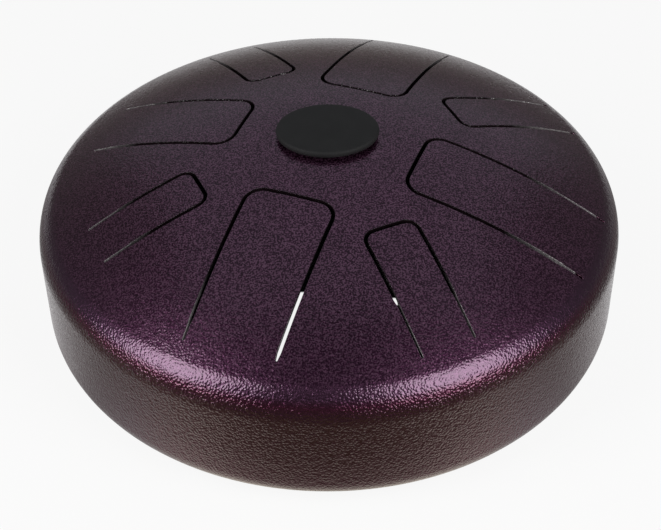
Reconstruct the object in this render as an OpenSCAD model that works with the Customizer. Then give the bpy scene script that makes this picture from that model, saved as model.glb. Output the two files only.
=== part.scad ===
// Steel tongue drum: a dished steel shell on a shallow pan, with eight tongues
// sawn into its crown, an oval rubber badge in the middle and four rubber feet.
// The drum stands on the plane z = 0 with its axis on Z. The player sits on the -Y side.

/* [Shell] */
// Outer diameter of the drum
drum_d = 305; // [290:1:330]
// Radius of the dished crown
crown_r = 300; // [280:1:340]
// Radius of the shoulder between the crown and the side wall
knuckle_r = 20; // [17:0.5:24]
// Height above the underside at which the shoulder starts
wall_top = 55; // [50:1:75]
// Radius of the rounding around the underside
base_r = 15; // [10:1:18]
// Thickness of the steel sheet
plate_t = 2.3; // [1.8:0.1:2.8]
// Height of the weld seam above the underside
seam_h = 30; // [24:1:36]
// Width of the weld between the top shell and the bottom pan
weld_w = 1.6; // [1:0.1:2.5]
// How far the weld stands out on the inside
weld_bead = 0.8; // [0.4:0.1:1.2]
// Diameter of the sound port in the underside
port_d = 140; // [100:1:150]

/* [Saw cuts] */
// Width of the slot around each tongue
kerf = 2; // [1.6:0.1:2.4]
// Width of the thin cut that tunes a tongue at the outer end of its slots
fine_kerf = 1.2; // [0.8:0.1:1.5]
// How much further the longer slot of a tongue runs than the shorter one
tuning_cut = 2; // [0:0.1:3]
// Gap that frees the root of each tongue from the shell
root_gap = 0.2; // [0.1:0.05:0.4]
// Corner radius at the inner end of a wide tongue
wide_corner = 9; // [6:0.5:12]
// Corner radius at the inner end of a narrow tongue
narrow_corner = 6; // [4:0.5:9]
// Direction of the first tongue, in degrees round from +X
first_angle = -110.9; // [-180:0.1:180]

/* [Tongue widths] */
// Width of tongue 1, the wide one in front, left of the player's middle
width_1 = 46.4; // [40:0.1:50]
// Width of tongue 2, a narrow one, next going round to the right
width_2 = 28; // [24:0.1:32]
// Width of tongue 3
width_3 = 45.8; // [40:0.1:50]
// Width of tongue 4
width_4 = 28.2; // [24:0.1:32]
// Width of tongue 5
width_5 = 47.2; // [40:0.1:50]
// Width of tongue 6
width_6 = 27.8; // [24:0.1:32]
// Width of tongue 7
width_7 = 40; // [36:0.1:46]
// Width of tongue 8
width_8 = 26.2; // [24:0.1:32]

/* [Tongue inner ends] */
// Distance of tongue 1's inner end from the middle, as a share of its root's distance
inner_1_share = 0.3618; // [0.33:0.0001:0.45]
// Distance of tongue 2's inner end from the middle, as a share of its root's distance
inner_2_share = 0.5209; // [0.5:0.0001:0.62]
// Distance of tongue 3's inner end from the middle, as a share of its root's distance
inner_3_share = 0.3397; // [0.33:0.0001:0.45]
// Distance of tongue 4's inner end from the middle, as a share of its root's distance
inner_4_share = 0.5154; // [0.5:0.0001:0.62]
// Distance of tongue 5's inner end from the middle, as a share of its root's distance
inner_5_share = 0.3496; // [0.33:0.0001:0.45]
// Distance of tongue 6's inner end from the middle, as a share of its root's distance
inner_6_share = 0.5285; // [0.5:0.0001:0.62]
// Distance of tongue 7's inner end from the middle, as a share of its root's distance
inner_7_share = 0.3724; // [0.33:0.0001:0.45]
// Distance of tongue 8's inner end from the middle, as a share of its root's distance
inner_8_share = 0.5603; // [0.5:0.0001:0.62]

/* [Tongue roots] */
// Distance of tongue 1's root from the side of the drum
rim_1 = 21.5; // [12:0.1:34]
// Distance of tongue 2's root from the side
rim_2 = 18.7; // [12:0.1:34]
// Distance of tongue 3's root from the side
rim_3 = 11.2; // [10:0.1:34]
// Distance of tongue 4's root from the side
rim_4 = 12.6; // [10:0.1:34]
// Distance of tongue 5's root from the side
rim_5 = 15.5; // [12:0.1:34]
// Distance of tongue 6's root from the side
rim_6 = 19.1; // [12:0.1:34]
// Distance of tongue 7's root from the side
rim_7 = 27.1; // [12:0.1:34]
// Distance of tongue 8's root from the side
rim_8 = 26.5; // [12:0.1:34]

/* [Badge] */
// Width of the oval badge, across the player's view
badge_w = 52.8; // [44:0.1:60]
// Depth of the oval badge
badge_d = 42.6; // [36:0.1:50]
// Thickness of the badge
badge_h = 3.8; // [3:0.1:5]
// Radius of the badge's rounded top edge
badge_round = 1.6; // [1:0.1:2.5]
// How far the badge's face rises from its edge to its middle
badge_crown = 0.5; // [0.2:0.1:1]
// Thickness of the foam tape under the badge, at its middle
badge_tape_t = 0.8; // [0.5:0.1:1.5]
// How far the tape stays inside the badge's edge
badge_tape_inset = 2.5; // [1:0.1:5]

/* [Feet] */
// Diameter of a rubber foot
foot_d = 20; // [14:0.5:26]
// Height of a rubber foot
foot_h = 4.5; // [3:0.1:8]
// Radius of the rounded lower edge of a foot
foot_round = 1.2; // [0.5:0.1:2]
// Thickness of the adhesive disc that holds a foot
foot_tape_t = 0.5; // [0.3:0.1:1]
// How far the adhesive disc stays inside the foot's edge
foot_tape_inset = 1; // [0.5:0.1:2]

/* [Hidden] */

tongues = 8;
feet = 4;
widths = [width_1, width_2, width_3, width_4, width_5, width_6, width_7, width_8];
inner_shares = [
    inner_1_share, inner_2_share, inner_3_share, inner_4_share,
    inner_5_share, inner_6_share, inner_7_share, inner_8_share
];
rims = [rim_1, rim_2, rim_3, rim_4, rim_5, rim_6, rim_7, rim_8];
// The next two tables have a pair for each tongue: its right slot and its left slot, as seen
// from the middle of the drum looking out.
// Share of the tuning cut by which the slot outruns the root.
cut_shares = [[1, 0], [0.85, 0], [0, 0.5], [0.85, 0], [0, 1], [0, 1], [0.55, 0], [0, 0.55]];
// Share of the tongue's length over which the slot is the thin cut.
fine_shares = [
    [0.1, 0.08], [0.42, 0.35], [0.12, 0.3], [0.3, 0.35],
    [0.2, 0.2], [0.25, 0.3], [0.2, 0.12], [0.3, 0.25]
];

drum_r = drum_d / 2;
port_r = port_d / 2;
// The underside lies on the feet and their adhesive discs.
under_z = foot_h + foot_tape_t;
wall_top_z = under_z + wall_top;
seam_z = under_z + seam_h;
// The shoulder's arc meets the crown's arc on the line through both centres.
tilt = asin((drum_r - knuckle_r) / (crown_r - knuckle_r));
crown_z = wall_top_z - (crown_r - knuckle_r) * cos(tilt);
top_z = crown_z + crown_r;
badge_z = top_z + badge_tape_t;
foot_ring_r = (port_r + drum_r - base_r) / 2;
foot_r = foot_d / 2;
// Every cut runs past the solid by this much.
over = plate_t;
// Steps round the badge's outline and across its rounded edge.
oval_steps = 80;
edge_steps = 5;
// Steps out along the crown under the badge's tape.
tape_steps = 10;
$fn = 128;

// What the top shell's outer face encloses, down to the height bottom, or with inset the
// thickness of the sheet, its hollow.
module top_profile(inset, bottom) {
    shoulder = [drum_r - knuckle_r, wall_top_z];
    translate([0, bottom])
        square([drum_r - inset, wall_top_z - bottom]);
    translate(shoulder)
        circle(knuckle_r - inset);
    // The crown's arc ends on the line through its own centre and the shoulder's.
    intersection() {
        translate([0, crown_z])
            circle(crown_r - inset);
        polygon([
            [0, bottom],
            shoulder,
            shoulder + crown_r * [sin(tilt), cos(tilt)],
            [0, wall_top_z + crown_r]
        ]);
    }
}

// The top shell's section: side wall, shoulder and crown in one sheet.
module top_section() {
    wall_z = seam_z + weld_w / 2;
    intersection() {
        difference() {
            top_profile(0, wall_z);
            top_profile(plate_t, wall_z - over);
        }
        translate([0, wall_z])
            square([drum_r + over, top_z]);
    }
}

// What the pan's outer face encloses, up to the height top, or its hollow.
module pan_profile(inset, top) {
    translate([0, under_z + inset])
        square([drum_r - base_r, top - under_z - inset]);
    translate([0, under_z + base_r])
        square([drum_r - inset, top - under_z - base_r]);
    translate([drum_r - base_r, under_z + base_r])
        circle(base_r - inset);
}

// The pan's section: side wall, rounding and flat bottom out from the port.
module pan_section() {
    wall_z = seam_z - weld_w / 2;
    intersection() {
        difference() {
            pan_profile(0, wall_z);
            pan_profile(plate_t, wall_z + over);
        }
        translate([port_r, under_z - over])
            square([drum_r, wall_z - under_z + over]);
    }
}

// A plan outline that runs from x0 to x1 along +X, w wide, with rounded corners at x0.
module finger(w, x0, x1, r) {
    translate([x0 + r, -w / 2])
        square([x1 - x0 - r, w]);
    translate([x0, r - w / 2])
        square([x1 - x0, w - 2 * r]);
    for (side = [-1, 1])
        translate([x0 + r, side * (w / 2 - r)])
            circle(r);
}

function corner(i) = i % 2 == 0 ? wide_corner : narrow_corner;
function root_x(i) = drum_r - rims[i];
function inner_x(i) = root_x(i) * inner_shares[i];
function cut_end(i, side) = root_x(i) + tuning_cut * cut_shares[i][side];
function fine_start(i, side) = root_x(i) - (root_x(i) - inner_x(i)) * fine_shares[i][side];

// The saw cut round tongue i, in plan, with the tongue lying along +X.
module saw_cut(i) {
    // Both slots are full width up to here, the nearer of the two thin cuts.
    full = min(fine_start(i, 0), fine_start(i, 1));
    difference() {
        finger(widths[i] + kerf, inner_x(i) - kerf / 2, full, corner(i) + kerf / 2);
        finger(widths[i] - kerf, inner_x(i) + kerf / 2, full + over, corner(i) - kerf / 2);
    }
    for (side = [0, 1]) {
        y = (side - 1 / 2) * widths[i];
        start = fine_start(i, side);
        translate([full - over, y - kerf / 2])
            square([start - full + over, kerf]);
        translate([start - over, y - fine_kerf / 2])
            square([cut_end(i, side) - start + over, fine_kerf]);
    }
}

// The outline of tongue i between its slots, out to its root.
module tongue_plan(i) {
    difference() {
        finger(widths[i], inner_x(i), root_x(i), corner(i));
        saw_cut(i);
    }
}

module turn_to(i) {
    rotate(first_angle + i * 360 / tongues)
        children();
}

module powder_coat() {
    color("#4b3742")
        children();
}

module top_shell() {
    powder_coat()
        difference() {
            rotate_extrude()
                top_section();
            for (i = [0 : tongues - 1])
                turn_to(i)
                    translate([0, 0, wall_top_z - over])
                        linear_extrude(top_z - wall_top_z + 2 * over) {
                            saw_cut(i);
                            finger(widths[i], inner_x(i), root_x(i) + root_gap, corner(i));
                        }
        }
}

module tongue(i) {
    powder_coat()
        intersection() {
            rotate_extrude()
                top_section();
            turn_to(i)
                translate([0, 0, wall_top_z - over])
                    linear_extrude(top_z - wall_top_z + 2 * over)
                        tongue_plan(i);
        }
}

module bottom_pan() {
    powder_coat()
        rotate_extrude()
            pan_section();
}

// Ground flush outside, with a low bead left inside.
module seam_weld() {
    powder_coat()
        rotate_extrude()
            translate([drum_r - plate_t, seam_z]) {
                translate([0, -weld_w / 2])
                    square([plate_t, weld_w]);
                intersection() {
                    circle(weld_bead);
                    translate([-weld_w, -weld_w])
                        square([weld_w, 2 * weld_w]);
                }
            }
}

function oval(inset) = [
    for (k = [0 : oval_steps - 1])
        let (a = 360 * k / oval_steps)
            [(badge_w / 2 - inset) * cos(a), (badge_d / 2 - inset) * sin(a)]
];

// Insets and heights up the badge's side, round its top edge and in over its face.
function badge_rings() = concat(
    [[0, 0]],
    [for (k = [0 : edge_steps])
        let (a = 90 * k / edge_steps)
            [badge_round * (1 - cos(a)), badge_h - badge_crown - badge_round * (1 - sin(a))]],
    [for (k = [1 : edge_steps - 1])
        let (s = k / edge_steps)
            [badge_round + s * (badge_d / 2 - badge_round), badge_h - badge_crown * (1 - s) * (1 - s)]]
);

module centre_badge() {
    rings = badge_rings();
    last = len(rings) - 1;
    points = concat(
        [for (q = rings) each [for (p = oval(q[0])) [p[0], p[1], q[1]]]],
        [[0, 0, badge_h]]
    );
    tip = len(points) - 1;
    faces = concat(
        [[for (k = [0 : oval_steps - 1]) k]],
        [for (j = [0 : last - 1], k = [0 : oval_steps - 1])
            let (n = (k + 1) % oval_steps, a = j * oval_steps, b = a + oval_steps)
                each [[a + k, b + n, a + n], [a + k, b + k, b + n]]],
        [for (k = [0 : oval_steps - 1])
            [last * oval_steps + k, tip, last * oval_steps + (k + 1) % oval_steps]]
    );
    color("#2b2c2e")
        translate([0, 0, badge_z])
            polyhedron(points, faces);
}

// Half the section of the tape's disc, flat above and hollow below to fit the crown.
module tape_section() {
    rim = badge_w / 2;
    polygon(concat(
        [for (k = [0 : tape_steps])
            let (r = rim * k / tape_steps)
                [r, sqrt(crown_r * crown_r - r * r) - crown_r]],
        [[rim, badge_tape_t], [0, badge_tape_t]]
    ));
}

module badge_tape() {
    color("#1d1d1f")
        intersection() {
            translate([0, 0, top_z - over])
                linear_extrude(badge_tape_t + over)
                    polygon(oval(badge_tape_inset));
            translate([0, 0, top_z])
                rotate_extrude()
                    tape_section();
        }
}

module at_foot(k) {
    rotate((k + 1 / 2) * 360 / feet)
        translate([foot_ring_r, 0, 0])
            children();
}

module foot(k) {
    color("#222224")
        at_foot(k)
            rotate_extrude() {
                square([foot_r - foot_round, foot_h]);
                translate([0, foot_round])
                    square([foot_r, foot_h - foot_round]);
                intersection() {
                    translate([foot_r - foot_round, foot_round])
                        circle(foot_round);
                    square([foot_r, foot_round]);
                }
            }
}

module foot_tape(k) {
    color("#d8d8d4")
        at_foot(k)
            translate([0, 0, foot_h])
                cylinder(h = foot_tape_t, r = foot_r - foot_tape_inset);
}

top_shell();
tongue(0);  // tongue_1
tongue(1);  // tongue_2
tongue(2);  // tongue_3
tongue(3);  // tongue_4
tongue(4);  // tongue_5
tongue(5);  // tongue_6
tongue(6);  // tongue_7
tongue(7);  // tongue_8
bottom_pan();
seam_weld();
centre_badge();
badge_tape();
foot(0);  // foot_1
foot(1);  // foot_2
foot(2);  // foot_3
foot(3);  // foot_4
foot_tape(0);  // foot_tape_1
foot_tape(1);  // foot_tape_2
foot_tape(2);  // foot_tape_3
foot_tape(3);  // foot_tape_4
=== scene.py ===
# %% [markdown]
# # A steel tongue drum
#
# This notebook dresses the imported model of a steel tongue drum: a dished steel shell on a
# shallow pan, eight tongues sawn into the crown, an oval rubber badge in the middle and four
# rubber feet. Every piece is built around the CAD model, which is loaded first and stays as it
# is, so a piece goes where the CAD says. Blender works in metres and the drum's sizes are in
# millimetres, so one small function turns one into the other.

# %% Load the frame
import math

import bmesh
import bpy
import numpy as np
from mathutils import Matrix, Vector, kdtree
from mathutils.geometry import delaunay_2d_cdt


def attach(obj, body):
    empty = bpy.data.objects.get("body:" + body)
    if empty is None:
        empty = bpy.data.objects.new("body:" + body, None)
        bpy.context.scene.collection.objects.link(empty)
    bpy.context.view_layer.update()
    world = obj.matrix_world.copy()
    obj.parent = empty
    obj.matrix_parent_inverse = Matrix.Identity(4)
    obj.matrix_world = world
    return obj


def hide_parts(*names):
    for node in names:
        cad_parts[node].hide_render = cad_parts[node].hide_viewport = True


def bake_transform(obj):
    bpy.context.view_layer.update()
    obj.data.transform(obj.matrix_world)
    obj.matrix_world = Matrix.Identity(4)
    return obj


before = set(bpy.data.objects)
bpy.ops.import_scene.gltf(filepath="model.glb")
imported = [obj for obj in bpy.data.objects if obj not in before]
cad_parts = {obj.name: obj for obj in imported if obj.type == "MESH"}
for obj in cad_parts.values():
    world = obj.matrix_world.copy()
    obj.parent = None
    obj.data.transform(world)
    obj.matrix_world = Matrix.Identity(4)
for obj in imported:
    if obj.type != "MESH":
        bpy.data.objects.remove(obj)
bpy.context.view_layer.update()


def mm(*values):
    """Millimetres to metres: one number, or a vector of several."""
    return values[0] / 1000 if len(values) == 1 else Vector(values) / 1000


# %% [markdown]
# ## Working as by hand
#
# Operators act on whatever is selected, and loading the frame leaves everything selected. So
# each step starts by selecting nothing, and faces or edges are then picked in code, by their
# place. These helpers do what the mouse would do.

# %% Helpers for selecting
def select_only(*pieces):
    """Nothing is selected but these pieces, and the first of them is active."""
    bpy.ops.object.select_all(action="DESELECT")
    for piece in pieces:
        piece.select_set(True)
    bpy.context.view_layer.objects.active = pieces[0]
    return pieces[0]


def edit(piece, mode="VERT"):
    """Opens a piece in edit mode with nothing selected."""
    select_only(piece)
    bpy.ops.object.mode_set(mode="EDIT")
    bpy.ops.mesh.select_mode(type=mode)
    bpy.ops.mesh.select_all(action="DESELECT")


def leave_edit():
    bpy.ops.object.mode_set(mode="OBJECT")


def pick(piece, kind, test):
    """In edit mode, selects each vertex, edge or face whose middle passes the test."""
    mesh = bmesh.from_edit_mesh(piece.data)
    for element in getattr(mesh, kind):
        middle = element.co if kind == "verts" else sum(
            (v.co for v in element.verts), Vector()) / len(element.verts)
        if test(middle):
            element.select_set(True)
    mesh.select_flush_mode()
    bmesh.update_edit_mesh(piece.data)


def apply_modifier(piece, kind, **settings):
    """Adds a modifier with its settings and applies it."""
    select_only(piece)
    modifier = piece.modifiers.new(kind.title(), kind)
    for name, value in settings.items():
        setattr(modifier, name, value)
    bpy.ops.object.modifier_apply(modifier=modifier.name)


def smooth(piece, degrees):
    """Shades a piece smooth, but not over edges sharper than so many degrees."""
    select_only(piece)
    bpy.ops.object.shade_smooth_by_angle(angle=math.radians(degrees))


def settle(piece, name):
    """Names a finished piece and puts its place into its mesh, with its object at the origin."""
    select_only(piece)
    bpy.ops.object.transform_apply(location=True, rotation=True, scale=True)
    piece.name = name
    piece.data.name = name
    print(f"{name}: {len(piece.data.vertices)} vertices, {len(piece.data.polygons)} faces")


# %% [markdown]
# ## The camera
#
# The camera stands in front of the player's side and looks down at about 42 degrees. Its place
# and lens were worked out from the drum's outline and its slots. The picture is level to within
# a degree, and that last bit is a roll about the line of sight.

# %% Camera
bpy.context.scene.view_settings.view_transform = "Standard"
CAMERA_PLACE = mm(0, -643.79, 595.87)
CAMERA_TARGET = mm(0.563, 0, 24.09)
CAMERA_ROLL = math.radians(-0.780)
CAMERA_LENS = 85.70

bpy.ops.object.camera_add(location=CAMERA_PLACE)
camera = bpy.context.object
camera.name = "camera"
camera.data.lens = CAMERA_LENS
camera.data.sensor_width = 36
camera.data.clip_start = 0.01
aim = (CAMERA_TARGET - CAMERA_PLACE).to_track_quat("-Z", "Y").to_matrix()
camera.rotation_euler = (aim @ Matrix.Rotation(CAMERA_ROLL, 3, "Z")).to_euler()
bpy.context.scene.camera = camera
print("camera distance:", round((CAMERA_TARGET - CAMERA_PLACE).length, 3), "m")

# %% [markdown]
# ## The drum's sizes
#
# They are those of the CAD source, in millimetres. The crown is part of a sphere of 300 mm
# radius. It meets the side wall over a shoulder of 20 mm radius, and the shoulder starts on the
# line through the two centres, so the sheet runs on without a crease.

# %% Sizes
DRUM_R = 152.5
CROWN_R = 300
SHOULDER_R = 20
SHEET = 2.3
UNDER_Z = 5  # the pan's underside, above the feet
WALL_TOP = 60
SEAM_Z = 35
WELD = 1.6
WALL_FOOT = SEAM_Z + WELD / 2
BEAD = 0.8  # how far the weld stands out inside
BASE_R = 15  # the rounding between the pan's wall and its flat
PORT_R = 70
KERF = 2
FINE_KERF = 1.2
TUNING_CUT = 2  # the most by which a slot outruns its tongue's root
FIRST_ANGLE = -110.9  # where the first tongue points, in degrees
AROUND = 256  # steps round the drum

SHOULDER_AT = DRUM_R - SHOULDER_R
TILT = math.asin(SHOULDER_AT / (CROWN_R - SHOULDER_R))
CROWN_Z = WALL_TOP - (CROWN_R - SHOULDER_R) * math.cos(TILT)
CREASE_R = CROWN_R * math.sin(TILT)

# Each tongue's width, the distances of its inner end and its root from the middle, the radius
# of its corners, how far its two slots outrun the root, and over which share of its length
# each slot is the thin cut. The first of a pair is the slot on the clockwise side.
TONGUES = [
    (46.4, 47.4, 131.0, 9, (1, 0), (0.1, 0.04)),
    (28.0, 69.7, 133.8, 6, (0.85, 0), (0.42, 0.35)),
    (45.8, 48.0, 141.3, 9, (0, 0.5), (0.12, 0.3)),
    (28.2, 72.1, 139.9, 6, (0.85, 0), (0.3, 0.35)),
    (47.2, 47.9, 137.0, 9, (0, 1), (0.2, 0.2)),
    (27.8, 70.5, 133.4, 6, (0, 1), (0.25, 0.3)),
    (40.0, 46.7, 125.4, 9, (0.55, 0), (0.2, 0.12)),
    (26.2, 70.6, 126.0, 6, (0, 0.55), (0.3, 0.25)),
]


def dome_height(r):
    """Height of the outer face at distance r from the axis."""
    if r <= CREASE_R:
        return CROWN_Z + math.sqrt(CROWN_R ** 2 - r ** 2)
    return WALL_TOP + math.sqrt(max(SHOULDER_R ** 2 - (r - SHOULDER_AT) ** 2, 0))


print("crown top at", round(dome_height(0), 2), "mm, shoulder from", round(CREASE_R, 2), "mm out")

# %% [markdown]
# ## The plan of the slots
#
# On the real drum one sheet is pressed into a dish, and a laser or a fine saw then cuts a
# U-shaped slot round each tongue. The outer ends of the slots are thinner: they were lengthened
# to tune the tongue. Cutting the slots out of a finished dome with a Boolean would leave
# slivers along them that can't be rounded evenly. So the cuts are drawn flat, as seen from
# above, and lifted onto the dome later.
#
# A slot has two sides: the shell's, outside it, and the tongue's, inside it. One function walks
# along either, from the root on one side of the tongue round its inner end to the root on the
# other side. With a margin it walks that much further into the steel, for a row of points that
# keeps the triangles next to the cut even.

# %% The walk along a slot
STEP = 2.0
TAPER = 3.0  # how long a slot takes to narrow to the thin cut
CORNER_STEPS = 12
END_STEPS = 6


def spaced(start, end):
    """Evenly spaced numbers from start to end, at most one step apart, both ends included."""
    count = max(1, math.ceil(abs(end - start) / STEP))
    return [start + (end - start) * k / count for k in range(count + 1)]


def arc(x, y, radius, start, end, count):
    """Points on an arc, with its angles in degrees."""
    angles = [math.radians(start + (end - start) * k / count) for k in range(count + 1)]
    return [(x + radius * math.cos(a), y + radius * math.sin(a)) for a in angles]


def half_walk(tongue, slot, outside, margin):
    """One side of the walk, at y above zero, from the tongue's inner end to its root."""
    width, inner, root, corner, outrun, thin = tongue
    way = 1 if outside else -1
    thin_from = root - (root - inner) * thin[slot]
    centre_line = width / 2

    def offset(x):
        share = min(max((x - thin_from) / TAPER, 0), 1)
        return (KERF + share * (FINE_KERF - KERF)) / 2 + margin

    turn = corner + way * offset(inner)
    points = arc(inner + corner, centre_line - corner, turn, 180, 90, CORNER_STEPS)
    stops = [inner + corner, thin_from, thin_from + TAPER]
    for a, b in zip(stops, stops[1:]):
        points += [(x, centre_line + way * offset(x)) for x in spaced(a, b)[1:]]
    if not outside:
        return points + [(x, centre_line - offset(x)) for x in spaced(stops[-1], root)[1:]]
    end = max(root + TUNING_CUT * outrun[slot] - FINE_KERF / 2, root)
    points += [(x, centre_line + offset(x)) for x in spaced(stops[-1], end)[1:]]
    points += arc(end, centre_line, offset(end), 90, -90, END_STEPS)[1:]
    if end > root:
        points += [(x, centre_line - offset(end)) for x in spaced(end, root)[1:]]
    return points


def walk(tongue, outside, margin=0.0):
    """The whole walk, from the root on the clockwise side to the root on the other."""
    first = [(x, -y) for x, y in reversed(half_walk(tongue, 0, outside, margin))]
    last = half_walk(tongue, 1, outside, margin)
    inner_end = [(first[-1][0], y) for y in spaced(first[-1][1], last[0][1])[1:-1]]
    return first + inner_end + last


def turned(points, index):
    """Points from the tongue's own plan, where it points along +X, to the drum's."""
    angle = math.radians(FIRST_ANGLE + 45 * index)
    c, s = math.cos(angle), math.sin(angle)
    return [(c * x - s * y, s * x + c * y) for x, y in points]


shell_sides, tongue_sides, root_lines = [], [], []
for index, tongue in enumerate(TONGUES):
    shell_sides.append(turned(walk(tongue, True), index))
    tongue_sides.append(turned(walk(tongue, False), index))
    root_half = tongue[0] / 2 - FINE_KERF / 2
    root_lines.append(turned([(tongue[2], y) for y in spaced(-root_half, root_half)], index))
print("points along the slots:", sum(len(s) for s in shell_sides + tongue_sides))

# %% [markdown]
# ## Filling the plan with even triangles
#
# The steel between the cuts is filled with points on rings 3 mm apart, which suits a round
# dish, and 1.5 mm apart near the shoulder, where it curves more. A row of points follows each
# cut 1 mm from it. Blender's constrained Delaunay function joins them into triangles that keep
# every cut as an edge. Each triangle then belongs to the shell, to one tongue, or to a slot, and
# those in a slot are dropped.

# %% Triangles of the plan
PLAN_R = 148.0
SHOULDER_GAP = 1.5
FIRST_GAP = 2.5
RING_GAP = 3.0
RING_CLEARANCE = 0.6 * RING_GAP
CUT_MARGIN = 1.0
CUT_CLEARANCE = 0.85 * CUT_MARGIN
SAMPLE = 0.25

plan_points, plan_edges, seen = [], [], {}


def plan_point(x, y):
    """The number of the plan's point at this place, the same one for the same place."""
    key = (round(x, 4), round(y, 4))
    if key not in seen:
        seen[key] = len(plan_points)
        plan_points.append(Vector((x, y)))
    return seen[key]


def plan_line(points, closed=False):
    numbers = [plan_point(x, y) for x, y in points]
    ends = numbers[1:] + (numbers[:1] if closed else [])
    plan_edges.extend(zip(numbers, ends))


def ring(r, count, shift=0.0):
    return [(r * math.cos(2 * math.pi * (k + shift) / count),
             r * math.sin(2 * math.pi * (k + shift) / count)) for k in range(count)]


for line in shell_sides + tongue_sides + root_lines:
    plan_line(line)
plan_line(ring(PLAN_R, AROUND), closed=True)

# A search tree of points 0.25 mm apart along every cut says how near a new point would be.
along_cuts = []
for line in shell_sides + tongue_sides + root_lines:
    for (x0, y0), (x1, y1) in zip(line, line[1:]):
        parts = max(1, math.ceil(math.hypot(x1 - x0, y1 - y0) / SAMPLE))
        along_cuts += [(x0 + (x1 - x0) * k / parts, y0 + (y1 - y0) * k / parts, 0)
                       for k in range(parts + 1)]
cuts = kdtree.KDTree(len(along_cuts))
for number, place in enumerate(along_cuts):
    cuts.insert(place, number)
cuts.balance()


def add_if_clear(points, clearance):
    for x, y in points:
        if cuts.find((x, y, 0))[2] >= clearance:
            plan_point(x, y)


for index, tongue in enumerate(TONGUES):
    for outside in (True, False):
        rows = turned(walk(tongue, outside, CUT_MARGIN), index)
        add_if_clear(rows, CUT_CLEARANCE)
shoulder_rings = [PLAN_R - SHOULDER_GAP * k for k in range(1, 5)]
for number, r in enumerate(shoulder_rings):
    add_if_clear(ring(r, AROUND, 0.5 * ((number + 1) % 2)), RING_CLEARANCE)
crown_rings = np.arange(shoulder_rings[-1] - FIRST_GAP, RING_GAP / 2, -RING_GAP)
for number, r in enumerate(crown_rings):
    count = max(6, round(2 * math.pi * r / RING_GAP))
    add_if_clear(ring(r, count, 0.5 * (number % 2)), RING_CLEARANCE)
plan_point(0, 0)

corners, _, triangles, *_ = delaunay_2d_cdt(plan_points, plan_edges, [], 0, 1e-5)
corners = np.array([tuple(c) for c in corners])
triangles = np.array([tuple(t) for t in triangles if len(t) == 3])
middles = corners[triangles].mean(axis=1)


def inside(points, outline):
    """Which points lie in a closed outline: a ray from there crosses it an odd number of times."""
    found = np.zeros(len(points), bool)
    x, y = points[:, 0], points[:, 1]
    for (x0, y0), (x1, y1) in zip(outline, outline[1:] + outline[:1]):
        crosses = (y0 > y) != (y1 > y)
        if y0 != y1:
            found ^= crosses & (x < (x1 - x0) * (y - y0) / (y1 - y0) + x0)
    return found


SHELL, SLOT = 0, -1
owner = np.full(len(triangles), SHELL)
for index in range(len(TONGUES)):
    owner[inside(middles, shell_sides[index])] = SLOT
    owner[inside(middles, tongue_sides[index])] = index + 1
print("triangles of the shell:", int((owner == SHELL).sum()), "and of the tongues:",
      [int((owner == k + 1).sum()) for k in range(len(TONGUES))])

# %% [markdown]
# ## The skin of the crown
#
# The flat triangles are lifted onto the dome, one skin for the shell and one for each tongue.
# They share the points of the root line, so a tongue grows out of the shell without a gap, as
# it does on the real drum, where both are one sheet.

# %% Lift the plan
def lift(name, which):
    """A skin from the plan's triangles of one owner, lifted onto the dome."""
    chosen = triangles[owner == which]
    used = np.unique(chosen)
    renumber = {int(old): new for new, old in enumerate(used)}
    places = [mm(x, y, dome_height(math.hypot(x, y))) for x, y in corners[used]]
    faces = [[renumber[int(v)] for v in t] for t in chosen]
    mesh = bpy.data.meshes.new(name)
    mesh.from_pydata(places, [], faces)
    piece = bpy.data.objects.new(name, mesh)
    bpy.context.scene.collection.objects.link(piece)
    if sum(f.normal.z for f in mesh.polygons) < 0:
        mesh.flip_normals()
    return piece


crown_skin = lift("crown_skin", SHELL)
tongue_skins = [lift(f"tongue_{k + 1}_skin", k + 1) for k in range(len(TONGUES))]
print("crown skin:", len(crown_skin.data.polygons), "triangles")

# %% [markdown]
# ## The shoulder and the side wall
#
# These are the same all round, so a profile is drawn and spun about the drum's axis, which is
# how a spinner or a press would think of them too. The profile starts as one point at the foot
# of the wall: a plane merged to its middle. It is extruded up the wall and then spun round the
# shoulder's centre up to where the crown's plan ends. With no window, spin turns against the
# usual sense round its axis, so the axis points the other way. Crown and shoulder both have 256
# steps round, so the two skins meet point to point.

# %% Spin the shoulder
SHOULDER_STEPS = 14
SAME_POINT = 0.005  # points this near each other are merged
SAME_EDGE = 0.02  # the same, for the edge where crown and shoulder meet


def single_point(place):
    """A new piece of one vertex, open in edit mode with that vertex selected."""
    bpy.ops.object.select_all(action="DESELECT")
    bpy.ops.mesh.primitive_plane_add(size=mm(1), location=(0, 0, 0))
    piece = bpy.context.object
    edit(piece)
    bpy.ops.mesh.select_all(action="SELECT")
    bpy.ops.mesh.merge(type="CENTER")
    bpy.ops.transform.translate(value=place)
    return piece


def extrude(*move):
    bpy.ops.mesh.extrude_region_move(TRANSFORM_OT_translate={"value": mm(*move)})


def merge_points(within):
    """Merges the open piece's points that are as near each other as this."""
    bpy.ops.mesh.select_all(action="SELECT")
    bpy.ops.mesh.remove_doubles(threshold=mm(within))


def revolve(steps=AROUND):
    """Spins all of the open piece once round the upright axis and closes the seam."""
    bpy.ops.mesh.select_all(action="SELECT")
    bpy.ops.mesh.spin(steps=steps, angle=2 * math.pi, center=(0, 0, 0), axis=(0, 0, 1))
    merge_points(SAME_POINT)
    bpy.ops.mesh.normals_make_consistent(inside=False)


shoulder_turn = math.acos((PLAN_R - SHOULDER_AT) / SHOULDER_R)
shoulder_skin = single_point(mm(DRUM_R, 0, WALL_FOOT))
extrude(0, 0, WALL_TOP - WALL_FOOT)
bpy.ops.mesh.spin(steps=SHOULDER_STEPS, angle=shoulder_turn,
                  center=mm(SHOULDER_AT, 0, WALL_TOP), axis=(0, 1, 0))
revolve()
leave_edit()

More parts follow.
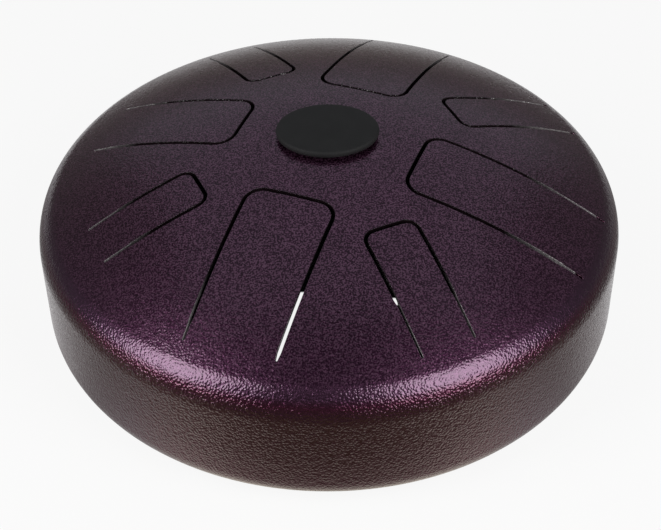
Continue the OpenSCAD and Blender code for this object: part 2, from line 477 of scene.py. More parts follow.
top_shell = select_only(crown_skin, shoulder_skin)
bpy.ops.object.join()
edit(top_shell)
merge_points(SAME_EDGE)
bpy.ops.mesh.normals_make_consistent(inside=False)
leave_edit()


def face_outwards(piece):
    """Turns an open skin over if its faces look towards the drum's middle."""
    inner = mm(0, 0, WALL_TOP)
    if sum((f.center - inner).dot(f.normal) * f.area for f in piece.data.polygons) < 0:
        piece.data.flip_normals()


face_outwards(top_shell)
print("shell skin:", len(top_shell.data.vertices), "vertices")

# %% [markdown]
# ## From skin to sheet
#
# Solidify gives each skin the thickness of the steel, inwards, and closes its edges. A sawn
# edge under powder coat is never sharp: the coat rounds it and it catches a thin line of light.
# So the upper edges of the slots get a small bevel. The root line gets none, because there is
# no edge there on the real drum.
#
# At last the shading normals of the outer face are set to those of the true sphere, shoulder
# and wall, so that reflections run smoothly from the shell into the tongues.

# %% Thickness, rounded edges and true normals
EDGE_ROUND = 0.18
SAWN_EDGE = 60  # an edge sharper than so many degrees is a cut one
NEAR_FACE = 0.02  # a point this near the outer face or a root line is on it
TRUE_FACE = 0.003  # a corner this near the outer face is shaded with its true normal


def true_normal(place):
    """The outer face's normal at a place on it, and how far off the face the place is, in mm."""
    x, y, z = (1000 * c for c in place)
    r = math.hypot(x, y)
    if z < WALL_TOP:
        away, out, up = r - DRUM_R, 1.0, 0.0
    else:
        on_crown = math.atan2(r, z - CROWN_Z) <= TILT
        centre = (0, CROWN_Z, CROWN_R) if on_crown else (SHOULDER_AT, WALL_TOP, SHOULDER_R)
        out, up = r - centre[0], z - centre[1]
        away = math.hypot(out, up) - centre[2]
        out, up = out / math.hypot(out, up), up / math.hypot(out, up)
    if r < 1e-6:
        return Vector((0, 0, 1)), away
    return Vector((out * x / r, out * y / r, up)), away


def on_root_line(place):
    """Whether a place lies on one of the straight root lines, in plan."""
    for index, tongue in enumerate(TONGUES):
        angle = math.radians(FIRST_ANGLE + 45 * index)
        x, y = 1000 * place.x, 1000 * place.y
        along = x * math.cos(angle) + y * math.sin(angle)
        across = y * math.cos(angle) - x * math.sin(angle)
        half = tongue[0] / 2 - FINE_KERF / 2
        if abs(along - tongue[2]) < NEAR_FACE and abs(across) < half + NEAR_FACE:
            return True
    return False


def sheet_from_skin(piece):
    apply_modifier(piece, "SOLIDIFY", thickness=mm(SHEET), offset=-1, use_even_offset=True)
    mesh = bmesh.new()
    mesh.from_mesh(piece.data)
    weights = mesh.edges.layers.float.new("bevel_weight_edge")
    rounded = 0
    for e in mesh.edges:
        if len(e.link_faces) != 2 or e.calc_face_angle() < math.radians(SAWN_EDGE):
            continue
        outside = all(abs(true_normal(v.co)[1]) < NEAR_FACE for v in e.verts)
        above = all(v.co.z > mm(WALL_TOP) for v in e.verts)
        if outside and above and not all(on_root_line(v.co) for v in e.verts):
            e[weights] = 1.0
            rounded += 1
    mesh.to_mesh(piece.data)
    mesh.free()
    apply_modifier(piece, "BEVEL", limit_method="WEIGHT", width=mm(EDGE_ROUND), segments=3)
    smooth(piece, 50)
    normals = []
    for face in piece.data.polygons:
        for corner in face.vertices:
            normal, away = true_normal(piece.data.vertices[corner].co)
            true = abs(away) < TRUE_FACE and face.normal.dot(normal) > 0.9
            normals.append(normal if true else Vector())
    piece.data.normals_split_custom_set(normals)
    return rounded


for skin in [top_shell] + tongue_skins:
    rounded = sheet_from_skin(skin)
    print(skin.name, "has", rounded, "rounded edges")
settle(top_shell, "steel_top_shell")
for k, skin in enumerate(tongue_skins):
    settle(skin, f"steel_tongue_{k + 1}")

# %% [markdown]
# ## The bottom pan
#
# The pan is a second pressed sheet with a round port. Its section is built the way the sheet
# runs: a strip for the wall, spun round the corner and extruded along the flat. Only the
# outline of that strip is kept, the two corners at the port are rounded, and the outline is
# spun about the drum's axis.

# %% Spin the pan
BASE_STEPS = 12


def strip(x, z, width, height):
    """A flat strip in the plane y = 0, open in edit mode, from its lower left corner."""
    bpy.ops.object.select_all(action="DESELECT")
    bpy.ops.mesh.primitive_plane_add(size=1, rotation=(math.pi / 2, 0, 0))
    piece = bpy.context.object
    piece.scale = (mm(width), mm(height), 1)
    piece.location = mm(x + width / 2, 0, z + height / 2)
    select_only(piece)
    bpy.ops.object.transform_apply(location=True, rotation=True, scale=True)
    edit(piece)
    return piece


def keep_outline():
    """Keeps the outer edges of the open piece and nothing within them."""
    bpy.ops.mesh.select_all(action="SELECT")
    bpy.ops.mesh.region_to_loop()
    bpy.ops.mesh.select_all(action="INVERT")
    bpy.ops.mesh.delete(type="EDGE")
    bpy.ops.mesh.select_all(action="SELECT")
    bpy.ops.mesh.delete(type="ONLY_FACE")


def near(value, target, within=0.01):
    return abs(1000 * value - target) < within


corner_z = UNDER_Z + BASE_R
pan = strip(DRUM_R - SHEET, corner_z, SHEET, SEAM_Z - WELD / 2 - corner_z)
pick(pan, "edges", lambda p: near(p.z, corner_z))
bpy.ops.mesh.spin(steps=BASE_STEPS, angle=math.pi / 2,
                  center=mm(DRUM_R - BASE_R, 0, corner_z), axis=(0, -1, 0))
extrude(PORT_R - (DRUM_R - BASE_R), 0, 0)
merge_points(SAME_POINT)
bpy.ops.mesh.select_mode(type="EDGE")
keep_outline()
bpy.ops.mesh.select_mode(type="VERT")
bpy.ops.mesh.select_all(action="DESELECT")
pick(pan, "verts", lambda p: near(p.x, PORT_R))
bpy.ops.mesh.bevel(affect="VERTICES", offset=mm(EDGE_ROUND), segments=3)
revolve()
leave_edit()
smooth(pan, 40)
settle(pan, "steel_bottom_pan")

# %% [markdown]
# ## The seam
#
# Shell and pan are welded together. The weld is ground flush outside and coated over, so it
# doesn't show there, and inside it stands out as a low bead. A strip of the wall's thickness is
# extruded inwards twice, narrower each time, and its outline is spun.

# %% Spin the weld
weld = strip(DRUM_R - SHEET, SEAM_Z - WELD / 2, SHEET, WELD)
pick(weld, "edges", lambda p: near(p.x, DRUM_R - SHEET))
for out, narrowing in ((0.6, 0.75), (0.4, 0.6)):
    extrude(-BEAD * out, 0, 0)
    bpy.ops.transform.resize(value=(1, 1, narrowing))
bpy.ops.mesh.select_mode(type="EDGE")
keep_outline()
revolve()
leave_edit()
smooth(weld, 40)
settle(weld, "steel_seam_weld")

# %% [markdown]
# ## The badge
#
# The badge is an oval of moulded rubber, flat on top with a soft rounded edge and a side that
# bulges a little, stuck down with a smaller oval of foam tape. A circle is stretched to the
# oval and extruded ring by ring, each ring drawn in or out by a set distance, up the side,
# round the edge and in over the face.

# %% Extrude the badge
BADGE_W = 52.8
BADGE_D = 42.6
BADGE_Z = 114.135
BADGE_H = 3.8
BADGE_CROWN = 0.5  # how much its middle stands above its edge
BADGE_ROUND = 1.6  # how far in from its side the rounded edge ends
BADGE_WIDEST = 1.35  # how high above its underside it is widest
BADGE_AROUND = 144
EDGE_STEPS = 7

# How far in from the oval and how high above its underside each ring lies.
badge_rings = [(1.1, 0), (0.6, 0.12), (0.25, 0.45), (0.06, 0.9), (0, BADGE_WIDEST)]
top_edge = BADGE_H - BADGE_CROWN
for k in range(1, EDGE_STEPS + 1):
    a = math.radians(90 * k / EDGE_STEPS)
    lower = top_edge - (top_edge - BADGE_WIDEST) * (1 - math.sin(a))
    badge_rings.append((BADGE_ROUND * (1 - math.cos(a)), lower))
for share in (0.12, 0.28, 0.46, 0.64, 0.8, 0.92):
    inset = BADGE_ROUND + share * (BADGE_D / 2 - BADGE_ROUND)
    badge_rings.append((inset, BADGE_H - BADGE_CROWN * (1 - share) ** 2))

bpy.ops.object.select_all(action="DESELECT")
bpy.ops.mesh.primitive_circle_add(vertices=BADGE_AROUND, radius=1, fill_type="NGON",
                                  location=mm(0, 0, BADGE_Z))
badge = bpy.context.object


def oval_size(inset):
    return mm(BADGE_W / 2 - inset), mm(BADGE_D / 2 - inset)


badge.scale = (*oval_size(badge_rings[0][0]), 1)
bpy.ops.object.transform_apply(location=True, rotation=True, scale=True)
edit(badge, "FACE")
bpy.ops.mesh.select_all(action="SELECT")
for (inset, height), (next_inset, next_height) in zip(badge_rings, badge_rings[1:]):
    extrude(0, 0, next_height - height)
    (w, d), (next_w, next_d) = oval_size(inset), oval_size(next_inset)
    bpy.ops.transform.resize(value=(next_w / w, next_d / d, 1))
bpy.ops.mesh.poke()
bpy.ops.mesh.select_all(action="SELECT")
bpy.ops.mesh.normals_make_consistent(inside=False)
leave_edit()
smooth(badge, 50)
settle(badge, "rubber_badge")

# %% [markdown]
# ## The feet
#
# Four rubber buttons carry the drum. Each is the half section of a button, with its lower edge
# rounded and its upper edge eased, spun about its own axis. One is made and copied round the
# pan, each copy with a mesh of its own.

# %% Spin a foot and copy it
FOOT_R = 10
FOOT_H = 4.5
FOOT_ROUND = 1.2
FOOT_EASE = 0.4
FOOT_AROUND = 64
FOOT_RING = (PORT_R + DRUM_R - BASE_R) / 2

foot = strip(0, 0, FOOT_R, FOOT_H)
pick(foot, "verts", lambda p: near(p.x, FOOT_R) and near(p.z, 0))
bpy.ops.mesh.bevel(affect="VERTICES", offset=mm(FOOT_ROUND), segments=5)
bpy.ops.mesh.select_all(action="DESELECT")
pick(foot, "verts", lambda p: near(p.x, FOOT_R) and near(p.z, FOOT_H))
bpy.ops.mesh.bevel(affect="VERTICES", offset=mm(FOOT_EASE), segments=2)
bpy.ops.mesh.select_all(action="SELECT")
bpy.ops.mesh.delete(type="ONLY_FACE")
pick(foot, "edges", lambda p: near(p.x, 0))
bpy.ops.mesh.delete(type="EDGE")
revolve(FOOT_AROUND)
leave_edit()
smooth(foot, 40)

feet = [foot] + [foot.copy() for _ in range(3)]
for piece in feet[1:]:
    piece.data = foot.data.copy()
    bpy.context.scene.collection.objects.link(piece)
for k, piece in enumerate(feet):
    angle = math.radians(45 + 90 * k)
    piece.location = mm(FOOT_RING * math.cos(angle), FOOT_RING * math.sin(angle), 0)
    settle(piece, f"rubber_foot_{k + 1}")

# %% [markdown]
# ## Materials
#
# Colours are written as on a colour card, in sRGB hex, and one function turns them to the
# linear values that the shader wants. Another adds a node with its settings and its links.
# Patterns are laid out in real millimetres: on Object coordinates, which are metres, a pattern
# of so many millimetres has a scale of 1000 divided by them.

# %% Material helpers
def linear(code):
    """An sRGB hex colour as the linear red, green, blue and alpha of a shader."""
    parts = [int(code[k:k + 2], 16) / 255 for k in (1, 3, 5)]
    return [c / 12.92 if c <= 0.04045 else ((c + 0.055) / 1.055) ** 2.4 for c in parts] + [1.0]


def per_mm(size):
    """The scale of a pattern whose grain is this many millimetres across."""
    return 1000 / size


def add_node(tree, kind, inputs=None, stops=None, **settings):
    """Adds a node, sets its properties and a ramp's stops, and sets or links its inputs."""
    node = tree.nodes.new("ShaderNode" + kind)
    for name, value in settings.items():
        setattr(node, name, value)
    for number, (place, code) in enumerate(stops or []):
        ramp = node.color_ramp.elements
        stop = ramp[number] if number < len(ramp) else ramp.new(place)
        stop.position, stop.color = place, linear(code)
    for name, value in (inputs or {}).items():
        if isinstance(value, bpy.types.NodeSocket):
            tree.links.new(value, node.inputs[name])
        else:
            node.inputs[name].default_value = value
    return node


def new_material(name):
    """An empty material, its node tree and its output node."""
    material = bpy.data.materials.new(name)
    material.use_nodes = True
    material.node_tree.nodes.clear()
    return material, material.node_tree, add_node(material.node_tree, "OutputMaterial")


def from_axis(tree, where):
    """How far a place is from the drum's axis, in metres."""
    place = add_node(tree, "SeparateXYZ", {0: where})
    flat = add_node(tree, "CombineXYZ", {0: place.outputs["X"], 1: place.outputs["Y"]})
    return add_node(tree, "VectorMath", {0: flat.outputs[0]}, operation="LENGTH").outputs["Value"]


def aside(tree, value, middle):
    """How far a value is from a middle one, to either side."""
    offset = add_node(tree, "Math", {0: value, 1: middle}, operation="SUBTRACT")
    return add_node(tree, "Math", {0: offset.outputs[0]}, operation="ABSOLUTE").outputs[0]


# %% [markdown]
# ### Hammertone powder coat
#
# The drum is coated with hammertone powder: a clear resin tinted deep purple, with aluminium
# flake in it. As it melts it draws up into small smooth cells with a fine crevice round each,
# about 1.2 mm across here, on a slower swell of about 2.4 mm. It gives the eye two things. The
# flake throws light back in a wide purple glow, and the glassy skin over it mirrors the lamps
# and the floor without colour. Away from a light the coat looks dark purple. At the edge of a
# reflection each cell turns a bright face to it and a dark one away from it.
#
# So the metallic layer is the flake, the coat layer is the resin's skin, and the relief goes
# into the normals of both. The cells are the smooth Voronoi pattern, pushed about by a soft
# noise so that they aren't all alike, and each has a roughness a little of its own. The flake's
# specks are far finer than a tenth of a millimetre on the real coat. Here they are drawn about
# 0.8 mm across, because finer ones wouldn't show.

# %% Powder coat
CELL = 1.2
CELL_DEPTH = 0.12
SWELL = 2.4
SWELL_DEPTH = 0.08
SPECK = 0.78
PATCH = 16
DRIFT = 2.4  # the soft noise that pushes the cells about
DRIFT_PUSH = 0.9  # how far it would push them at full strength

coat, tree, output = new_material("hammertone_powder_coat")
where = add_node(tree, "TexCoord").outputs["Object"]
drift = add_node(tree, "TexNoise", {"Vector": where, "Scale": per_mm(DRIFT), "Detail": 1.0})
centred = add_node(tree, "VectorMath", {0: drift.outputs["Color"], 1: (0.5, 0.5, 0.5)},
                   operation="SUBTRACT")
pushed = add_node(tree, "VectorMath", {0: centred.outputs[0], "Scale": mm(DRIFT_PUSH)},
                  operation="SCALE")
wobbly = add_node(tree, "VectorMath", {0: where, 1: pushed.outputs[0]}, operation="ADD").outputs[0]
cells = add_node(tree, "TexVoronoi", {"Vector": wobbly, "Scale": per_mm(CELL), "Smoothness": 0.4},
                 feature="SMOOTH_F1")
own = add_node(tree, "TexVoronoi", {"Vector": wobbly, "Scale": per_mm(CELL)})
own_value = add_node(tree, "SeparateColor", {"Color": own.outputs["Color"]})
swell = add_node(tree, "TexNoise", {"Vector": where, "Scale": per_mm(SWELL), "Detail": 1.0})
patches = add_node(tree, "TexNoise", {"Vector": where, "Scale": per_mm(PATCH), "Detail": 3.0})

# How level the surface lies there: 1 on top of the crown, 0 on the side wall.
facing = add_node(tree, "SeparateXYZ", {0: add_node(tree, "TexCoord").outputs["Normal"]})
level = add_node(tree, "Math", {0: facing.outputs["Z"]}, operation="ABSOLUTE").outputs[0]

# The powder falls on the crown in grains and clings to the wall in an even, thicker layer, so
# the flake is speckled on the crown alone. Over the shoulder the colour is lilac, below that
# redder, and on the wall browner. This is set by how the surface faces: a painted tint of the
# lamps' and the room's reflections there, not a colour of the powder. Each cell and each larger
# patch has a shade of its own.
grainy = add_node(tree, "MapRange", {
    "Value": level, "From Min": 0.72, "From Max": 0.92, "To Min": 0.3, "To Max": 1.0})
noise = add_node(tree, "TexNoise", {"Vector": where, "Scale": per_mm(SPECK), "Detail": 0.0})
specks = add_node(tree, "Mix", {"Factor": grainy.outputs["Result"], "A": 0.5,
                                "B": noise.outputs["Fac"]}).outputs["Result"]
speck_colour = add_node(tree, "ValToRGB", {"Fac": specks},
                        stops=[(0.38, "#330729"), (0.5, "#532a48"), (0.62, "#734d67")])
patch_shade = add_node(tree, "MapRange", {
    "Value": patches.outputs["Fac"], "From Min": 0.3, "From Max": 0.7,
    "To Min": 0.9, "To Max": 1.1})
own_shade = add_node(tree, "MapRange", {
    "Value": own_value.outputs["Green"], "To Min": 0.93, "To Max": 1.07})
shade = add_node(tree, "Math", {
    0: patch_shade.outputs["Result"], 1: own_shade.outputs["Result"]}, operation="MULTIPLY")
tinted = add_node(tree, "VectorMath", {
    0: speck_colour.outputs["Color"], "Scale": shade.outputs[0]}, operation="SCALE")
upright = add_node(tree, "MapRange", {"Value": level, "From Min": 0.95, "From Max": 0.78})
# A painted tint by facing: lilac where the lamps' bands lie, redder below, browner on the wall.
facing_reflection_tint = add_node(tree, "ValToRGB", {"Fac": level},
                       stops=[(0.3, "#532d40"), (0.46, "#57263f"), (0.64, "#51334b")])
coat_with_reflection_tint = add_node(tree, "Mix", {"Factor": upright.outputs["Result"], "A": tinted.outputs[0],
                                 "B": facing_reflection_tint.outputs["Color"]}, data_type="RGBA")

# The walls of the cuts face sideways on the crown, and their colour is painted. Over the wide
# inner halves it is near black, a painted shade for the shade deep in the narrow slots. Towards
# the fine outer ends it turns grey.
radius = from_axis(tree, where)
sideways = add_node(tree, "MapRange", {"Value": level, "From Min": 0.84, "From Max": 0.7})
on_crown = add_node(tree, "MapRange", {"Value": radius, "From Min": mm(140), "From Max": mm(139)})
in_cut = add_node(tree, "Math", {
    0: sideways.outputs["Result"], 1: on_crown.outputs["Result"]}, operation="MULTIPLY").outputs[0]
outer = add_node(tree, "MapRange", {"Value": radius, "From Min": mm(102), "From Max": mm(128)})
# Near black for the painted shade in the slots, grey towards their outer ends.
slot_wall_shade_and_grey = add_node(tree, "Mix", {"Factor": outer.outputs["Result"], "A": linear("#1a1014"),
                              "B": linear("#918c8d")}, data_type="RGBA")
coat_and_slot_shade = add_node(tree, "Mix", {"Factor": in_cut, "A": coat_with_reflection_tint.outputs["Result"],
                                "B": slot_wall_shade_and_grey.outputs["Result"]}, data_type="RGBA")
flake_share = add_node(tree, "MapRange", {
    "Value": specks, "From Min": 0.35, "From Max": 0.65, "To Min": 0.98, "To Max": 0.87})
metal = add_node(tree, "Mix", {"Factor": in_cut, "A": flake_share.outputs["Result"], "B": 0.3})
own_rough = add_node(tree, "MapRange", {
    "Value": own_value.outputs["Red"], "To Min": 0.27, "To Max": 0.35})

# The relief is the swell with the cells on it, and both are deeper on the wall.
deep = add_node(tree, "MapRange", {
    "Value": level, "From Min": 0.25, "From Max": 0.9,
    "To Min": 2.7, "To Max": 0.6}).outputs["Result"]
swell_height = add_node(tree, "Math", {0: swell.outputs["Fac"], 1: deep}, operation="MULTIPLY")
swelling = add_node(tree, "Bump", {
    "Height": swell_height.outputs[0], "Distance": mm(SWELL_DEPTH)})
domed = add_node(tree, "MapRange", {
    "Value": cells.outputs["Distance"], "From Max": 0.75, "To Min": 1.0, "To Max": 0.0})
cell_height = add_node(tree, "Math", {0: domed.outputs["Result"], 1: deep}, operation="MULTIPLY")
relief = add_node(tree, "Bump", {
    "Height": cell_height.outputs[0], "Distance": mm(CELL_DEPTH),
    "Normal": swelling.outputs["Normal"]}).outputs["Normal"]
shader = add_node(tree, "BsdfPrincipled", {
    "Base Color": coat_and_slot_shade.outputs["Result"], "Metallic": metal.outputs["Result"],
    "Roughness": own_rough.outputs["Result"],
    "Coat Weight": 0.68, "Coat Roughness": 0.08, "Coat IOR": 1.55,
    "Normal": relief, "Coat Normal": relief})
tree.links.new(shader.outputs["BSDF"], output.inputs["Surface"])
print("material:", coat.name)

# %% [markdown]
# ### Rubber and tape
#
# The badge is moulded from matt rubber: dark grey, never quite black, with a soft wide sheen
# and the fine spark-eroded grain of its mould. The feet are a slightly greyer rubber of the
# same kind. The badge's tape is black closed-cell foam, with pores, and the feet sit on pale
# adhesive.

# %% Rubber, foam and adhesive
def moulded_rubber(name, light_code, dark_code, grain_mm, depth_mm):
    """Matt moulded rubber: a fine even grain, and a colour that drifts a little."""
    material, tree, output = new_material(name)
    where = add_node(tree, "TexCoord").outputs["Object"]
    bloom = add_node(tree, "TexNoise", {"Vector": where, "Scale": per_mm(9), "Detail": 4.0})
    colour = add_node(tree, "ValToRGB", {"Fac": bloom.outputs["Fac"]},
                      stops=[(0.35, dark_code), (0.7, light_code)])
    grain = add_node(tree, "TexNoise", {"Vector": where, "Scale": per_mm(grain_mm), "Detail": 3.0})
    rough = add_node(tree, "MapRange", {
        "Value": bloom.outputs["Fac"], "To Min": 0.64, "To Max": 0.76})
    bump = add_node(tree, "Bump", {"Height": grain.outputs["Fac"], "Distance": mm(depth_mm)})
    shader = add_node(tree, "BsdfPrincipled", {
        "Base Color": colour.outputs["Color"], "Roughness": rough.outputs["Result"],
        "IOR": 1.52, "Specular IOR Level": 0.28, "Sheen Weight": 0.03, "Sheen Roughness": 0.5,
        "Normal": bump.outputs["Normal"]})
    tree.links.new(shader.outputs["BSDF"], output.inputs["Surface"])
    print("material:", material.name)
    return material


badge_rubber = moulded_rubber("matt_badge_rubber", "#19191a", "#141415", 0.8, 0.09)
foot_rubber = moulded_rubber("black_foot_rubber", "#2a2a2c", "#1e1e20", 0.6, 0.04)

foam, tree, output = new_material("closed_cell_foam")
where = add_node(tree, "TexCoord").outputs["Object"]
pores = add_node(tree, "TexVoronoi", {"Vector": where, "Scale": per_mm(0.5)})
foam_colour = add_node(tree, "ValToRGB", {"Fac": pores.outputs["Distance"]},
                       stops=[(0.1, "#101011"), (0.6, "#1f1f21")])
foam_bump = add_node(tree, "Bump", {"Height": pores.outputs["Distance"], "Distance": mm(0.1)})
shader = add_node(tree, "BsdfPrincipled", {
    "Base Color": foam_colour.outputs["Color"], "Roughness": 0.9,
    "Normal": foam_bump.outputs["Normal"]})
tree.links.new(shader.outputs["BSDF"], output.inputs["Surface"])

adhesive, tree, output = new_material("acrylic_adhesive_disc")
where = add_node(tree, "TexCoord").outputs["Object"]
cloud = add_node(tree, "TexNoise", {"Vector": where, "Scale": per_mm(3), "Detail": 3.0})
disc_colour = add_node(tree, "ValToRGB", {"Fac": cloud.outputs["Fac"]},
                       stops=[(0.3, "#cfcfca"), (0.7, "#dededa")])
shader = add_node(tree, "BsdfPrincipled", {
    "Base Color": disc_colour.outputs["Color"], "Roughness": 0.45})
tree.links.new(shader.outputs["BSDF"], output.inputs["Surface"])
print("materials:", foam.name, "and", adhesive.name)

# %% [markdown]
# ## The shell's pieces ride on their body
#
# The shell, the pan and all that is stuck to them are one body. Each tongue gets the coat, and
# its place goes into its mesh.

# %% Finish and CAD node of each piece, and the shell's body
def finish(piece, material):
    piece.data.materials.clear()
    piece.data.materials.append(material)


on_shell = [(top_shell, coat, "powder_coat", "top_shell"),
            (pan, coat, "powder_coat", "bottom_pan"),
            (weld, coat, "powder_coat", "seam_weld"),
            (badge, badge_rubber, "badge_rubber", "centre_badge")]
on_shell += [(piece, foot_rubber, "foot_rubber", f"foot_{k + 1}") for k, piece in enumerate(feet)]
for piece, material, slot, node in on_shell:
    finish(piece, material)
    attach(piece, "shell")
    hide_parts(node)

for k, piece in enumerate(tongue_skins):
    width, inner, root = TONGUES[k][:3]
    finish(piece, coat)
    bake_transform(piece)
    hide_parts(f"tongue_{k + 1}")

taped = {"badge_tape": foam, **{f"foot_tape_{k + 1}": adhesive for k in range(len(feet))}}
for node, material in taped.items():
    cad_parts[node].data.materials.clear()
    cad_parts[node].data.materials.append(material)
print("made:", len(on_shell) + len(tongue_skins), "pieces, kept from the CAD model:", len(taped))

# %% [markdown]
# ## The studio
#
# The drum stands on white paper that sweeps up behind it, and the room in front of it and above
# is dim. Two soft boxes stand in front, left and right, with their middles some 0.8 m up, and
# make the two lilac bands on the shoulder. A pale, cool panel hangs over the drum and reaches
# back behind it. It is mirrored in the middle of the crown, and the crown's sides mirror the dim
# room.
#
# The paper is white to the camera and through clear things by the Light Path node, and not by
# stronger lamps. What reflections see of it is painted by place: dim and warm in front, paler
# close round the drum, white behind it and dim again further off, with a painted grey shade under
# the drum. Part of the paper's own shading stays, so the drum keeps its shadow.

# %% Floor
SOFT_EDGE = 0.5

bpy.ops.object.select_all(action="DESELECT")
bpy.ops.mesh.primitive_circle_add(vertices=128, radius=8, fill_type="NGON", location=(0, 0, 0))
floor = bpy.context.object
floor.name = "studio_floor"

white_floor, tree, output = new_material("white_studio_floor")
where = add_node(tree, "TexCoord").outputs["Object"]
place = add_node(tree, "SeparateXYZ", {0: where})
distance = from_axis(tree, where)
seen_by = add_node(tree, "LightPath")
glossy = seen_by.outputs["Is Glossy Ray"]
mirrored = add_node(tree, "Math", {0: seen_by.outputs["Is Camera Ray"], 1: glossy},
                    operation="ADD")
direct = add_node(tree, "Math", {
    0: mirrored.outputs[0], 1: seen_by.outputs["Is Transmission Ray"]},
    operation="ADD", use_clamp=True)

# Under the drum the floor's colour is painted near black, a painted shadow. There it glows white
# to the camera and in reflections only in two painted patches of light below its port, where
# light would come in through the slots of the two tongues nearest the player. Each patch is
# given by its middle and its half width and depth, in millimetres.
beyond = add_node(tree, "MapRange", {
    "Value": distance, "From Min": mm(128), "From Max": mm(139)}).outputs["Result"]
painted_light_mask = beyond
for middle_x, middle_y, half_x, half_y in ((-22, -24, 9.5, 28.5), (36, -4.2, 1.6, 2.8)):
    sides = []
    for axis, middle, half in (("X", middle_x, half_x), ("Y", middle_y, half_y)):
        sides.append(add_node(tree, "MapRange", {
            "Value": aside(tree, place.outputs[axis], mm(middle)),
            "From Min": mm(half + SOFT_EDGE), "From Max": mm(half - SOFT_EDGE)}))
    patch = add_node(tree, "Math", {
        0: sides[0].outputs["Result"], 1: sides[1].outputs["Result"]}, operation="MULTIPLY")
    painted_light_mask = add_node(tree, "Math", {0: painted_light_mask, 1: patch.outputs[0]}, operation="MAXIMUM").outputs[0]
share = add_node(tree, "Math", {0: direct.outputs[0], 1: painted_light_mask}, operation="MULTIPLY")
most = add_node(tree, "MapRange", {"Value": glossy, "To Min": 0.91, "To Max": 1.0})
white_share = add_node(tree, "Math", {0: share.outputs[0], 1: most.outputs["Result"]},
                       operation="MULTIPLY")
paper_grain = add_node(tree, "TexNoise", {"Vector": where, "Scale": per_mm(2)})
paper_bump = add_node(tree, "Bump", {"Height": paper_grain.outputs["Fac"], "Distance": mm(0.02)})
# The paper's colour is near black where the light mask is low: a painted shadow under the drum.
paper_with_painted_shadow = add_node(tree, "Mix", {"Factor": painted_light_mask, "A": linear("#141416"),
                                      "B": linear("#ececea")}, data_type="RGBA")
paper = add_node(tree, "BsdfPrincipled", {
    "Base Color": paper_with_painted_shadow.outputs["Result"], "Roughness": 0.9,
    "Normal": paper_bump.outputs["Normal"]})

# What reflections see of it, from 600 mm in front of the drum's middle to 600 mm behind it, is
# painted light and shade laid out by place.
backwards = add_node(tree, "MapRange", {
    "Value": place.outputs["Y"], "From Min": mm(-600), "From Max": mm(600)}).outputs["Result"]
far_paper = add_node(tree, "ValToRGB", {"Fac": backwards}, stops=[
    (0.0, "#5b5750"), (0.22, "#5f5a4e"), (0.31, "#69613f"), (0.37, "#8b8770"), (0.5, "#72706e"),
    (0.6, "#838281"), (0.65, "#bcbcbb"), (0.75, "#e2e2e2"), (1.0, "#746f69")])
off_side = add_node(tree, "MapRange", {
    "Value": aside(tree, place.outputs["X"], mm(-60)),
    "From Min": mm(260), "From Max": mm(420), "To Max": 0.7})
far_seen = add_node(tree, "Mix", {
    "Factor": off_side.outputs["Result"], "A": far_paper.outputs["Color"],
    "B": linear("#55534f")}, data_type="RGBA")
# Close round the drum, reflections see it dim and warm right in front and pale towards the front's
# sides: a painted pool of the soft boxes' light.
near_paper = add_node(tree, "ValToRGB", {"Fac": backwards}, stops=[
    (0.345, "#524d2e"), (0.383, "#e8e3d4"), (0.405, "#bcbbb9"), (0.43, "#a09f9d"),
    (0.5, "#e7e7e7")])
nearness = add_node(tree, "MapRange", {
    "Value": distance, "From Min": mm(218), "From Max": mm(172)})
in_mirror = add_node(tree, "Mix", {
    "Factor": nearness.outputs["Result"], "A": far_seen.outputs["Result"],
    "B": near_paper.outputs["Color"]}, data_type="RGBA")
# Under the drum, reflections see a painted grey shade.
mirrored_paper = add_node(tree, "Mix", {
    "Factor": beyond, "A": linear("#5c5c5a"), "B": in_mirror.outputs["Result"]}, data_type="RGBA")
paper_seen = add_node(tree, "Mix", {
    "Factor": glossy, "A": linear("#fdfdfd"), "B": mirrored_paper.outputs["Result"]},
    data_type="RGBA")
glow = add_node(tree, "Emission", {"Color": paper_seen.outputs["Result"]})
mixed = add_node(tree, "MixShader", {
    0: white_share.outputs[0], 1: paper.outputs["BSDF"], 2: glow.outputs[0]})
tree.links.new(mixed.outputs[0], output.inputs["Surface"])
floor.data.materials.append(white_floor)
print("floor:", floor.name)

# %% World
world = bpy.data.worlds.new("studio")
bpy.context.scene.world = world
world.use_nodes = True
tree = world.node_tree
tree.nodes.clear()
output = add_node(tree, "OutputWorld")
seen_by = add_node(tree, "LightPath")
direction = add_node(tree, "SeparateXYZ", {0: add_node(tree, "TexCoord").outputs["Generated"]})
backwards = add_node(tree, "MapRange", {
    "Value": direction.outputs["Y"], "From Min": -1.0, "From Max": 1.0})
room = add_node(tree, "ValToRGB", {"Fac": backwards.outputs["Result"]}, stops=[
    (0.0, "#423c34"), (0.4, "#434345"), (0.55, "#5c5c5d"), (0.75, "#646362"), (1.0, "#5f5b56")])

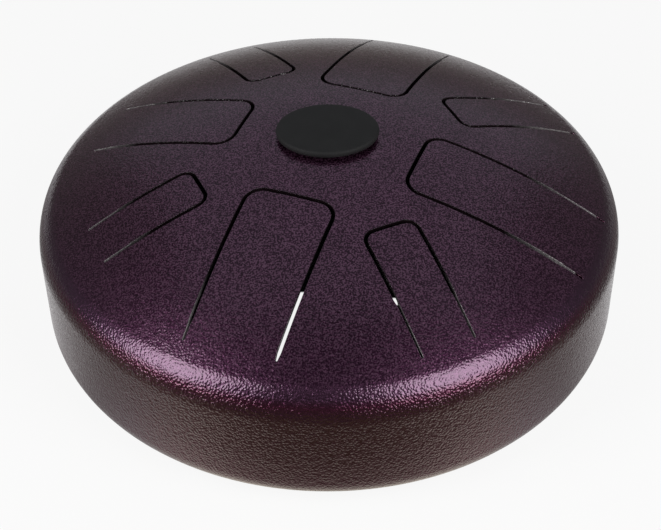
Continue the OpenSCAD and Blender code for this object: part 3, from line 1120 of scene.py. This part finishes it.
# The panel over the drum: its width, its front edge and how far down it comes at the back.
panel_width = add_node(tree, "MapRange", {
    "Value": aside(tree, direction.outputs["X"], 0.03), "From Min": 0.56, "From Max": 0.44})
panel_front = add_node(tree, "MapRange", {
    "Value": direction.outputs["Y"], "From Min": -0.05, "From Max": 0.15})
panel_back = add_node(tree, "MapRange", {
    "Value": direction.outputs["Z"], "From Min": 0.1, "From Max": 0.25})
panel_reach = add_node(tree, "Math", {
    0: panel_front.outputs["Result"], 1: panel_back.outputs["Result"]}, operation="MULTIPLY")
panel = add_node(tree, "Math", {0: panel_width.outputs["Result"], 1: panel_reach.outputs[0]},
                 operation="MULTIPLY")
above = add_node(tree, "Mix", {"Factor": panel.outputs[0], "A": room.outputs["Color"],
                               "B": linear("#8f9597")}, data_type="RGBA")
in_mirror = add_node(tree, "Background", {"Color": above.outputs["Result"]})
fill = add_node(tree, "Background", {"Color": linear("#6c6c70")})
white = add_node(tree, "Background", {"Color": linear("#fafafa")})
mirrored = add_node(tree, "MixShader", {
    0: seen_by.outputs["Is Glossy Ray"], 1: fill.outputs[0], 2: in_mirror.outputs[0]})
open_view = add_node(tree, "Math", {
    0: seen_by.outputs["Is Camera Ray"], 1: seen_by.outputs["Is Transmission Ray"]},
    operation="ADD", use_clamp=True)
both = add_node(tree, "MixShader", {
    0: open_view.outputs[0], 1: mirrored.outputs[0], 2: white.outputs[0]})
tree.links.new(both.outputs[0], output.inputs["Surface"])
print("world:", world.name)

# %% Lamps
LAMP_TARGET = mm(0, 0, 80)


def soft_box(name, azimuth, elevation, distance, width, height, power):
    """A large soft lamp that looks at the drum from a direction."""
    a, e = math.radians(azimuth), math.radians(elevation)
    towards = Vector((math.cos(e) * math.cos(a), math.cos(e) * math.sin(a), math.sin(e)))
    bpy.ops.object.light_add(type="AREA", location=towards * distance + LAMP_TARGET)
    lamp = bpy.context.object
    lamp.name = name
    lamp.data.shape = "RECTANGLE"
    lamp.data.size = width
    lamp.data.size_y = height
    lamp.data.energy = power
    lamp.rotation_euler = (-towards).to_track_quat("-Z", "Y").to_euler()
    print(f"{name}: {power} W from {azimuth} degrees round, {elevation} up")


soft_box("soft_box_left", -149, 32, 1.3, 0.65, 1.05, 11.0)
soft_box("soft_box_right", -42.5, 32, 1.3, 0.75, 1.05, 12.2)
